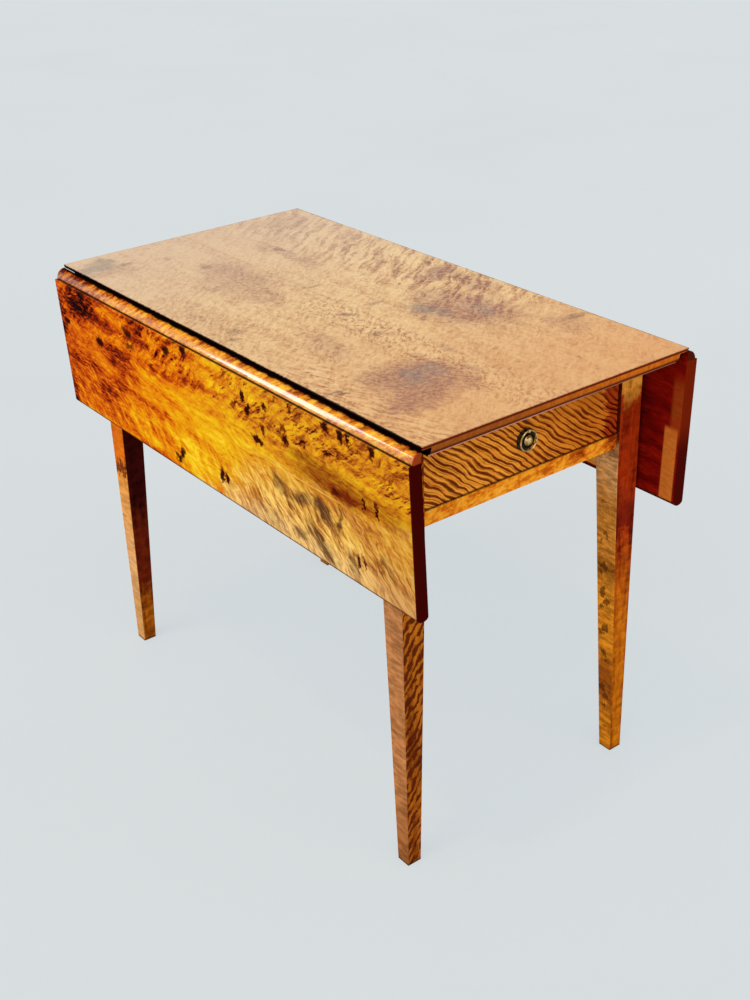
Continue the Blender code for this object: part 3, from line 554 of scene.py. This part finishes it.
def drawer_front_finish():
    """The drawer front: dark slanting stripes on gold, red at the right end, bare behind."""
    f = Finish("drawer_front_flame")
    x, y, z = f.place()
    at = f.vector(x, z, y)
    fibre = grain(f, at, 41)
    sway = f.noise(at, (0.080, 0.050, 0.05), seed=42)
    wave = f.noise(at, (0.022, 0.010, 0.03), -0.6, seed=43, detail=3.0, rough=0.55)
    left = (-0.09 - x) | 0.0
    bend = left * left * f.step(z, 0.665, 0.600) * 1.7
    band = z + x * 0.78 + y * 0.4 + bend + (sway - 0.5) * 0.028 + (wave - 0.5) * 0.0024
    broad = (band * (TURN / 0.0102)).sine()
    hair = (band * (TURN / 0.0047) + sway * 9.0).sine()
    width = f.figure(at, (0.040, 0.012, 0.03), -0.5, seed=44, spread=0.22)
    weak = f.step(x, 0.02, 0.12) * f.step(z, 0.640, 0.675)
    stripe = (f.step(broad + (width - 0.5) * 1.1, -0.10, 0.80)
              | f.step(hair + (width - 0.5) * 1.2, 0.35, 1.05) * 0.65)
    stripe = stripe * (1.0 - weak * 0.55)
    tone = f.figure(at, (0.05, 0.014, 0.02), -0.6, seed=45, spread=0.2)
    gold = f.mix(f.step(x, -0.06, 0.13), tint(252, 168, 56), tint(216, 128, 34))
    gold = f.mix(tone * 0.45, gold, tint(186, 92, 18))
    colour = f.mix(stripe * 0.93, gold, f.mix(width, tint(120, 20, 5), tint(76, 6, 3)))
    red = f.step(x + (width - 0.5) * 0.022 + (stripe - 0.5) * 0.008, 0.147, 0.158)
    colour = f.mix(red * 0.92, colour, f.mix(stripe, tint(164, 54, 15), tint(74, 4, 3)))
    # Painted shade: the front darkens at its ends and along its top and bottom edges, at the gaps round it.
    edge = (f.step(abs(x), DRAWER_X - 0.0023, DRAWER_X - 0.0004)
            | f.step(z, DRAWER_LOW + 0.0038, DRAWER_LOW + 0.0014)
            | f.step(z, DRAWER_HIGH - 0.0030, DRAWER_HIGH - 0.0012))
    colour = f.mix(edge * 0.85, colour, tint(44, 10, 4))
    bare = f.step(y, DRAWER_Y + 0.0045, DRAWER_Y + 0.0065)
    plain = f.ramp(tone, [(0.1, tint(206, 156, 92)), (0.9, tint(170, 118, 62))])
    colour = f.mix(bare * 0.8, colour, plain)
    return varnished(f, colour, fibre, worn=bare)


def rail_finish(name, along_table):
    """Rails and brackets: mottled golden birch, with the grain along each piece."""
    f = Finish(name)
    x, y, z = f.place()
    at = f.vector(y, z, x) if along_table else f.vector(x, z, y)
    fibre = grain(f, at, 51)
    mottle = f.figure(at, (0.014, 0.008, 0.014), 0.2, seed=52, spread=0.18, detail=5.0, rough=0.70)
    tone = f.figure(at, (0.10, 0.05, 0.10), 0.0, seed=53, spread=0.25, detail=3.0, rough=0.55)
    patches = f.marks(f.vector(x, z, 0.0), FRONT_RAIL_PATCHES, soft=0.8)
    depth = (0.37 + (mottle - 0.5) * 0.42 + (tone - 0.5) * 0.22 + (fibre - 0.5) * 0.12
             + patches * f.step(y, -0.30, -0.36))
    colour = f.ramp(depth, [
        (0.06, tint(254, 190, 66)), (0.34, tint(246, 156, 34)), (0.56, tint(206, 102, 18)),
        (0.80, tint(136, 46, 9))])
    inner = f.within(y, -0.395, 0.398, soft=0.008) * f.step(abs(x), 0.21, 0.20)
    plain = f.ramp(tone, [(0.1, tint(196, 138, 78)), (0.9, tint(150, 98, 52))])
    colour = f.mix(inner * 0.6, colour, plain)
    return varnished(f, colour, fibre, worn=inner)


def leg_finish(name, seed, left, near, slopes, wide, bold, front, window, ripple, marked,
               front_bands=(), window_bands=(), spots=()):
    """A leg: amber stripes, with its own colours on the face to the drawer and on the face to the window,
    paler there as a painted sheen.
    """
    f = Finish(name)
    x, y, z = f.place()
    at = f.vector(z, x, y)
    fibre = grain(f, at, seed)
    sway = f.noise(at, (0.050, 0.030, 0.030), seed=seed + 1)
    wave = f.figure(at, (0.010, 0.014, 0.014), 0.0, seed + 2, spread=0.20)
    width = f.noise(at, (0.026, 0.013, 0.013), seed=seed + 3, detail=3.0, rough=0.6)
    tone = f.figure(at, (0.10, 0.012, 0.012), 0.0, seed + 4, spread=0.20)
    fine = f.figure(at, (0.0070, 0.026, 0.026), 0.0, seed + 5, spread=0.13, detail=5.0, rough=0.66)
    band = z + x * slopes[0] + y * slopes[1] + (sway - 0.5) * 0.050 + (wave - 0.5) * 0.005
    stripe = f.step((band * (TURN / wide)).sine() + (width - 0.5) * 6.5, -0.5, 0.6) * (1.0 - tone * 0.12)
    along = z + (wave - 0.5) * 0.020 + (tone - 0.5) * 0.030
    height = along / LEG_LONG
    shade = tone * 0.5 + wave * 0.3 + fibre * 0.2

    def banded(stops, bands):
        """Broad colours from the foot up, and bands across them, each (low, high, soft edge, colour)."""
        shown = f.ramp(height, [(at_z / LEG_LONG, tint(*hue)) for at_z, hue in stops])
        for low, high, soft, hue in bands:
            shown = f.mix(f.within(along, low, high, soft), shown, tint(*hue))
        return shown

    taper = FOOT_SIDE + (LEG_SIDE - FOOT_SIDE) * ((z / TAPER_Z) & 1.0)
    if near:
        to_drawer = f.step(y, 0.0016 - LEG_Y, 0.0004 - LEG_Y)
    else:
        to_drawer = f.step(y - (LEG_Y - taper), 0.0016, 0.0004)
    if left:
        to_window = f.step(x, 0.0017 - LEG_X, 0.0003 - LEG_X)
    else:
        to_window = f.step(x - (LEG_X - taper), 0.0016, 0.0004)

    amber = f.ramp(height, [(0.0, tint(186, 106, 26)), (0.7, tint(170, 86, 18))])
    colour = f.mix(to_drawer, amber, banded(front, front_bands))
    colour = f.mix(1.0, colour, f.ramp(shade, [
        (0.22, (1.28, 1.33, 1.28, 1.0)), (0.48, (1.0, 1.0, 1.0, 1.0)),
        (0.78, (0.50, 0.40, 0.40, 1.0))]), "MULTIPLY")
    colour = f.mix(stripe * bold, colour, tint(72, 12, 7))

    # Painted sheen: the face to the window takes paler colours.
    sheened_face = banded(window, window_bands)
    sheened_face = f.mix(1.0, sheened_face, f.ramp(fine * 0.65 + shade * 0.35, [
        (0.10, (1.0 + 0.5 * ripple,) * 3 + (1.0,)), (0.40, (1.0, 1.0, 1.0, 1.0)),
        (0.90, (1.0 - 0.75 * ripple, 1.0 - 0.85 * ripple, 1.0 - 0.90 * ripple, 1.0))]), "MULTIPLY")
    bars = f.noise(at, (0.0070, 0.034, 0.034), 0.10, seed + 6, detail=4.0, rough=0.6)
    sheened_face = f.mix(f.step(bars, 0.49, 0.60) * marked, sheened_face, tint(88, 40, 10))
    if spots:
        face = f.vector(z, y, 0.0)
        ragged = f.swayed(face, (0.009, 0.006, 0.006), (0.026, 0.020, 0.0), seed + 7, detail=5.0)
        spotted = f.step(f.marks(ragged, spots, soft=0.85), 0.06, 0.60)
        sheened_face = f.mix(spotted * 0.80, sheened_face, tint(78, 42, 12))
    colour = f.mix(to_window, colour, sheened_face)
    colour = f.mix(f.step(z, 0.006, 0.0015) * 0.7, colour, tint(40, 14, 6))
    return varnished(f, colour, fibre, gloss=0.32)


def pine_finish(name, along_table):
    """Bare, aged pine, with its rings along each piece."""
    f = Finish(name)
    x, y, z = f.place()
    at = f.vector(y, x, z) if along_table else f.vector(x, y, z)
    across = x if along_table else y
    fibre = grain(f, at, 61)
    sway = f.noise(at, (0.25, 0.03, 0.03), seed=62)
    ring = ((across + z * 1.3 + (sway - 0.5) * 0.05) * (TURN / 0.0075)).sine()
    tone = f.noise(at, (0.2, 0.05, 0.05), seed=63, detail=3.0, rough=0.6)
    colour = f.ramp(tone * 0.6 + f.step(ring, -0.2, 1.0) * 0.3 + (fibre - 0.5) * 0.2, [
        (0.15, tint(222, 186, 126)), (0.45, tint(202, 158, 98)), (0.75, tint(158, 110, 62))])
    stain = f.noise(at, (0.05, 0.05, 0.05), seed=64, detail=4.0, rough=0.6)
    colour = f.mix(f.step(stain, 0.55, 0.8) * 0.5, colour, tint(116, 82, 50))
    rough = 0.62 + (fibre - 0.5) * 0.3
    return f.surface(Base_Color=colour, Roughness=rough, Specular_IOR_Level=0.25,
                     Normal=f.bump(fibre, strength=0.35, reach=0.0004))


def metal_finish(name, bright, dull, dark, rough_low, rough_high, seed):
    """Old metal: bright where it is rubbed, dull elsewhere, with dark specks."""
    f = Finish(name)
    x, y, z = f.place()
    at = f.vector(x, y, z)
    patch = f.noise(at, (0.006, 0.006, 0.006), seed=seed, detail=4.0, rough=0.6)
    speck = f.noise(at, (0.0012, 0.0012, 0.0012), seed=seed + 1, detail=3.0, rough=0.6)
    colour = f.mix(f.step(patch, 0.35, 0.62), tint(*bright), tint(*dull))
    colour = f.mix(f.step(speck, 0.52, 0.75) * 0.7, colour, tint(*dark))
    rough = rough_low + f.step(patch * 0.6 + speck * 0.4, 0.3, 0.7) * (rough_high - rough_low)
    return f.surface(Base_Color=colour, Roughness=rough, Metallic=1.0,
                     Normal=f.bump(speck, strength=0.2, reach=0.0002))


BRASS = metal_finish("aged_brass", bright=(236, 210, 146), dull=(170, 136, 72), dark=(70, 52, 26),
                     rough_low=0.20, rough_high=0.40, seed=71)
DARK_BRASS = metal_finish("dark_brass", bright=(70, 56, 34), dull=(30, 22, 13), dark=(12, 8, 5),
                          rough_low=0.30, rough_high=0.50, seed=73)
IRON = metal_finish("hinge_iron", bright=(110, 104, 98), dull=(70, 64, 58), dark=(62, 34, 20),
                    rough_low=0.40, rough_high=0.62, seed=75)
PINE_ALONG = pine_finish("bare_pine_along", True)
PINE_ACROSS = pine_finish("bare_pine_across", False)
RAIL_ALONG = rail_finish("rail_birch_along", True)
RAIL_ACROSS = rail_finish("rail_birch_across", False)
FINISHES = {
    "top_board": top_finish(),
    "left_leaf": leaf_finish("near_leaf_flame", seed=21, near=True),
    "right_leaf": leaf_finish("far_leaf_flame", seed=31, near=False),
    "drawer_front": drawer_front_finish(),
    "leg_front_left": leg_finish(
        "leg_near", seed=81, left=True, near=True, slopes=(-1.35, 0.05), wide=0.021, bold=0.90,
        front=[(0.00, (160, 84, 16)), (0.25, (162, 88, 18)), (0.52, (178, 100, 22))],
        window=[(0.00, (132, 80, 42)), (0.05, (164, 104, 58)), (0.15, (178, 118, 70)),
                (0.52, (182, 124, 76))],
        ripple=0.45, marked=0.22),
    "leg_front_right": leg_finish(
        "leg_right", seed=91, left=False, near=True, slopes=(-0.10, 0.12), wide=0.026, bold=0.22,
        front=[(0.10, (195, 108, 13)), (0.26, (191, 101, 14)), (0.42, (156, 47, 9)),
               (0.63, (156, 45, 11)), (0.66, (250, 172, 62))],
        # Near the top, beside the drawer, the face to the window turns near black, painted shade.
        window=[(0.05, (198, 120, 24)), (0.26, (224, 142, 33)), (0.46, (207, 140, 58)),
                (0.53, (216, 166, 108)), (0.575, (84, 24, 10))],
        ripple=0.55, marked=0.35,
        front_bands=[(0.425, 0.450, 0.028, (118, 27, 9))],
        window_bands=[(0.115, 0.150, 0.050, (150, 80, 18)), (0.342, 0.348, 0.042, (156, 96, 26))],
        spots=RIGHT_LEG_SPOTS),
    "leg_back_left": leg_finish(
        "leg_far_left", seed=101, left=True, near=False, slopes=(-0.12, 0.10), wide=0.024, bold=0.40,
        # The face to the drawer darkens to near black towards the top, painted shade.
        front=[(0.07, (164, 88, 12)), (0.13, (104, 32, 9)), (0.25, (100, 30, 9)), (0.31, (50, 8, 4))],
        window=[(0.05, (198, 147, 88)), (0.18, (215, 161, 105)), (0.34, (214, 144, 66)),
                (0.39, (214, 108, 20))],
        ripple=0.30, marked=0.16, window_bands=[(0.361, 0.373, 0.014, (114, 49, 14))]),
    "leg_back_right": leg_finish(
        "leg_back_right", seed=111, left=False, near=False, slopes=(0.15, -0.10), wide=0.018, bold=0.50,
        front=[(0.00, (206, 132, 32)), (0.20, (196, 112, 24)), (0.50, (170, 80, 16))],
        window=[(0.00, (216, 146, 48)), (0.20, (206, 134, 46)), (0.50, (190, 120, 50))],
        ripple=0.40, marked=0.45),
}

# The other pieces take the finish of their slot, the first of a pair across the table, the second along it.
SLOT_FINISHES = {
    "birch_rail": (RAIL_ACROSS, RAIL_ALONG), "pine": (PINE_ACROSS, PINE_ALONG),
    "iron": (IRON, IRON), "brass": (BRASS, BRASS), "dark_brass": (DARK_BRASS, DARK_BRASS)}
ALONG_TABLE = ("side_rail", "fly_rail", "fly_bracket", "drawer_runner", "drawer_kicker", "drawer_side")
SLOT_OF = {row["node"]: row["material_slot"] for row in frame["record"]["subparts"]}
BODY_OF = {node: body for body, nodes in frame["record"]["behaviour"]["bodies"].items() for node in nodes}
for node, slot in SLOT_OF.items():
    if node not in FINISHES:
        FINISHES[node] = SLOT_FINISHES[slot][node.startswith(ALONG_TABLE)]
    NODES[node].data.materials[0] = FINISHES[node]


# Pieces.

MERGE_DISTANCE = 1e-6
FLAT_ANGLE = math.radians(0.2)
CRISP_ANGLE = math.radians(34)


def put(name, mesh, finish, body, slot, *nodes):
    """A finished piece in the scene, on its body, in place of the nodes that it stands for."""
    mesh.materials.clear()
    mesh.materials.append(finish)
    piece = bpy.data.objects.new(name, mesh)
    scene.collection.objects.link(piece)
    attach(piece, body)
    if nodes:
        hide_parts(*nodes)
    return piece


def smooth_piece(node):
    """The node's own shape with its curved faces shaded smooth and its arrises kept crisp."""
    mesh = NODES[node].data.copy()
    mesh.name = node + "_smooth"
    shape = bmesh.new()
    shape.from_mesh(mesh)
    bmesh.ops.remove_doubles(shape, verts=shape.verts, dist=MERGE_DISTANCE)
    bmesh.ops.dissolve_limit(shape, angle_limit=FLAT_ANGLE, verts=shape.verts, edges=shape.edges)
    shape.to_mesh(mesh)
    shape.free()
    if mesh.attributes.get("custom_normal"):
        mesh.attributes.remove(mesh.attributes["custom_normal"])
    mesh.shade_smooth()
    mesh.set_sharp_from_angle(angle=CRISP_ANGLE)
    return put(node + "_dressed", mesh, FINISHES[node], BODY_OF[node], SLOT_OF[node], node)


DRESSED = {node: smooth_piece(node) for node in (
    "top_board", "left_leaf", "right_leaf", "pull_plate", "pull_post", "pull_eye", "pull_ring")}


# Hinge screws, laid out by Geometry Nodes.

SCREW_SIZES = {"Head Radius": 0.0032, "Head Height": 0.0005, "Slot Width": 0.0009}
HEAD_SIDES = 20
HEAD_TAPER = 0.82
SLOT_REACH = 3.0
HINGES_Y = (-0.300, 0.300)
LEAF_FLAP_U = -0.0025
LEAF_FLAP_SCREWS = ((-0.021, -0.013), (0.021, -0.013), (0.0, -0.026))
TOP_FLAP_X = 0.2325
TOP_FLAP_Z = 0.7070
TOP_FLAP_SCREWS = (-0.022, 0.022)


def screw_tree():
    """Slotted screw heads on points: all face one way, and each slot is turned by chance."""
    group = bpy.data.node_groups.new("slotted_screws", "GeometryNodeTree")
    group.interface.new_socket("Geometry", in_out="INPUT", socket_type="NodeSocketGeometry")
    kinds = {"Head Radius": "Float", "Head Height": "Float", "Slot Width": "Float", "Facing": "Vector",
             "Seed": "Int", "Finish": "Material"}
    inputs = {}
    for name, kind in kinds.items():
        socket = group.interface.new_socket(name, in_out="INPUT", socket_type="NodeSocket" + kind)
        inputs[name] = socket.identifier
    group.interface.new_socket("Geometry", in_out="OUTPUT", socket_type="NodeSocketGeometry")
    g = Nodes(group)
    points = g.node("NodeGroupInput")
    radius, tall = points.other("Head Radius"), points.other("Head Height")
    head = g.node("GeometryNodeMeshCone", None, {
        "Vertices": HEAD_SIDES, "Radius Top": radius * HEAD_TAPER, "Radius Bottom": radius, "Depth": tall})
    size = g.node("ShaderNodeCombineXYZ", None, {
        0: radius * SLOT_REACH, 1: points.other("Slot Width"), 2: tall})
    lift = g.node("ShaderNodeCombineXYZ", None, {2: tall})
    slot = g.node("GeometryNodeTransform", None, {
        "Geometry": g.node("GeometryNodeMeshCube", None, {"Size": size}), "Translation": lift})
    cut = g.node("GeometryNodeMeshBoolean", {"operation": "DIFFERENCE"}, {"Mesh 1": head, "Mesh 2": slot})
    facing = g.node("FunctionNodeAlignRotationToVector", {"axis": "Z"}, {"Vector": points.other("Facing")})
    chance = g.node("FunctionNodeRandomValue", {"data_type": "FLOAT"}, {
        "Max": math.pi, "Seed": points.other("Seed")}, 1)
    turn = g.node("FunctionNodeAxisAngleToRotation", None, {"Axis": (0.0, 0.0, 1.0), "Angle": chance})
    rotation = g.node("FunctionNodeRotateRotation", {"rotation_space": "LOCAL"}, {
        "Rotation": facing, "Rotate By": turn})
    placed = g.node("GeometryNodeInstanceOnPoints", None, {
        "Points": points, "Instance": cut, "Rotation": rotation})
    real = g.node("GeometryNodeRealizeInstances", None, {"Geometry": placed})
    done = g.node("GeometryNodeSetMaterial", None, {"Geometry": real, "Material": points.other("Finish")})
    g.node("NodeGroupOutput", None, {0: done})
    return group, inputs


def make_screws(name, body, points, facing, seed):
    """One mesh of screw heads for one body."""
    group, inputs = SCREWS
    mesh = bpy.data.meshes.new(name + "_points")
    mesh.from_pydata(points, [], [])
    holder = bpy.data.objects.new(name + "_points", mesh)
    scene.collection.objects.link(holder)
    rule = holder.modifiers.new("screws", "NODES")
    rule.node_group = group
    chosen = {**SCREW_SIZES, "Facing": facing, "Seed": seed, "Finish": IRON}
    for key, value in chosen.items():
        rule[inputs[key]] = value
    bpy.context.view_layer.update()
    heads = bpy.data.meshes.new_from_object(holder.evaluated_get(bpy.context.evaluated_depsgraph_get()))
    heads.name = name
    holder.modifiers.remove(rule)
    bpy.data.objects.remove(holder)
    put(name, heads, IRON, body, "iron")


def leaf_point(u, y, v):
    """A point of the right leaf, given out from, along and up from its hinge pin."""
    return (PIN_X + u * TILT_COS + v * TILT_SIN, y, PIN_Z - u * TILT_SIN + v * TILT_COS)


SCREWS = screw_tree()
right_leaf_points = [leaf_point(LEAF_FLAP_U, y + dy, v) for y in HINGES_Y for dy, v in LEAF_FLAP_SCREWS]
left_leaf_points = [(-x, -y, z) for x, y, z in right_leaf_points]
top_points = [(side * TOP_FLAP_X, y + dy, TOP_FLAP_Z)
              for side in (-1, 1) for y in HINGES_Y for dy in TOP_FLAP_SCREWS]
make_screws("hinge_screws_right_leaf", "right_leaf", right_leaf_points, (-TILT_COS, 0.0, TILT_SIN), seed=3)
make_screws("hinge_screws_left_leaf", "left_leaf", left_leaf_points, (TILT_COS, 0.0, TILT_SIN), seed=5)
make_screws("hinge_screws_frame", "frame", top_points, (0.0, 0.0, -1.0), seed=7)


# Room: pale floor, soft light and the camera.

FLOOR_HALF = 40.0
OWN_SHARE = 0.76
ROOM_LIGHT = (0.95, 0.99, 1.0, 1.0)
ROOM_STRENGTH = 0.58
DAYLIGHT = (1.0, 0.99, 0.97)
LAMPLIGHT = (1.0, 0.60, 0.30)
LAMP_DISTANCE = 4
CAMERA_AT = (-1.21119, -1.67584, 1.47000)
CAMERA_AZIMUTH = math.radians(-36.8059)
CAMERA_ELEVATION = math.radians(27.8198)
CAMERA_ROLL = math.radians(-2.0613)
CAMERA_LENS = 50.166
CAMERA_SENSOR = 36.0


def make_floor():
    """A pale floor. Its own colour lifts what the camera and mirrors see of it, so shadows stay light."""
    f = Finish("pale_floor")
    x, y, z = f.place()
    cloud = f.noise(f.vector(x, y, z), (0.9, 0.9, 0.9), seed=121, detail=3.0)
    colour = f.ramp(cloud, [(0.3, tint(224, 219, 213)), (0.7, tint(221, 216, 210))])
    own = f.ramp(cloud, [(0.3, tint(216, 226, 231)), (0.7, tint(214, 224, 229))])
    matt = f.node("ShaderNodeBsdfDiffuse", None, {"Color": colour})
    lifted = f.node("ShaderNodeEmission", None, {"Color": own, "Strength": 1.0})
    both = f.node("ShaderNodeMixShader", None, {0: f.seen() * OWN_SHARE, 1: matt, 2: lifted})
    f.node("ShaderNodeOutputMaterial", None, {"Surface": both})
    mesh = bpy.data.meshes.new("floor")
    corners = [(x * FLOOR_HALF, y * FLOOR_HALF, 0) for x, y in ((-1, -1), (1, -1), (1, 1), (-1, 1))]
    mesh.from_pydata(corners, [], [(0, 1, 2, 3)])
    mesh.materials.append(f.material)
    floor = bpy.data.objects.new("floor", mesh)
    scene.collection.objects.link(floor)
    return floor


def make_world():
    """Even light from all round, behind the pale tone that the camera and mirrors see."""
    world = bpy.data.worlds.new("studio")
    scene.world = world
    world.use_nodes = True
    g = Nodes(world.node_tree)
    light = g.node("ShaderNodeBackground", None, {"Color": ROOM_LIGHT, "Strength": ROOM_STRENGTH})
    shown = g.node("ShaderNodeBackground", None, {"Color": tint(217, 221, 221), "Strength": 1.0})
    both = g.node("ShaderNodeMixShader", None, {0: g.seen(), 1: light, 2: shown})
    g.node("ShaderNodeOutputWorld", None, {"Surface": both})


def make_lamp(name, toward, strength, softness, colour):
    """A distant lamp that shines from a direction, with a soft edge given in degrees."""
    data = bpy.data.lights.new(name, "SUN")
    data.energy = strength
    data.angle = math.radians(softness)
    data.color = colour
    lamp = bpy.data.objects.new(name, data)
    lamp.location = Vector(toward) * LAMP_DISTANCE
    lamp.rotation_euler = Vector(toward).to_track_quat("Z", "Y").to_euler()
    scene.collection.objects.link(lamp)


def make_window(name, centre, wide, tall, power, passes_by):
    """A tall lit window that faces the table. Its light passes by flat pieces that would mirror its shape."""
    data = bpy.data.lights.new(name, "AREA")
    data.shape = "RECTANGLE"
    data.size = wide
    data.size_y = tall
    data.energy = power
    window = bpy.data.objects.new(name, data)
    window.location = centre
    toward = Vector(centre) - Vector((0.0, 0.0, centre[2]))
    window.rotation_euler = toward.to_track_quat("Z", "Y").to_euler()
    scene.collection.objects.link(window)
    dark = bpy.data.collections.new(name + "_passes_by")
    for piece in passes_by:
        dark.objects.link(piece)
    for row in dark.collection_objects:
        row.light_linking.link_state = "EXCLUDE"
    window.light_linking.receiver_collection = dark


def make_camera():
    """The photograph's place and angle, in an image of 750 by 1000."""
    level = math.cos(CAMERA_ELEVATION)
    back = Vector((math.sin(CAMERA_AZIMUTH) * level, -math.cos(CAMERA_AZIMUTH) * level,
                   math.sin(CAMERA_ELEVATION)))
    right = (-back).cross(Vector((0, 0, 1))).normalized()
    up = right.cross(-back)
    across = right * math.cos(CAMERA_ROLL) + up * math.sin(CAMERA_ROLL)
    upward = up * math.cos(CAMERA_ROLL) - right * math.sin(CAMERA_ROLL)
    data = bpy.data.cameras.new("camera")
    data.sensor_fit = "AUTO"
    data.sensor_width = CAMERA_SENSOR
    data.lens = CAMERA_LENS
    camera = bpy.data.objects.new("camera", data)
    turned = Matrix((across, upward, back)).transposed().to_4x4()
    camera.matrix_world = Matrix.Translation(CAMERA_AT) @ turned
    scene.collection.objects.link(camera)
    scene.camera = camera


FLOOR = make_floor()
make_world()
make_lamp("left_window", toward=(-0.85, -0.10, 0.55), strength=1.12, softness=60, colour=DAYLIGHT)
make_lamp("front_fill", toward=(-0.15, -0.85, 0.50), strength=0.85, softness=70, colour=DAYLIGHT)
make_lamp("lamp_overhead", toward=(-0.34, 0.0, 0.94), strength=0.36, softness=6, colour=LAMPLIGHT)
make_window("back_window", centre=(-2.10, 2.11, 1.35), wide=0.50, tall=1.90, power=18.0,
            passes_by=(DRESSED["top_board"], FLOOR))
make_camera()

bpy.context.view_layer.update()
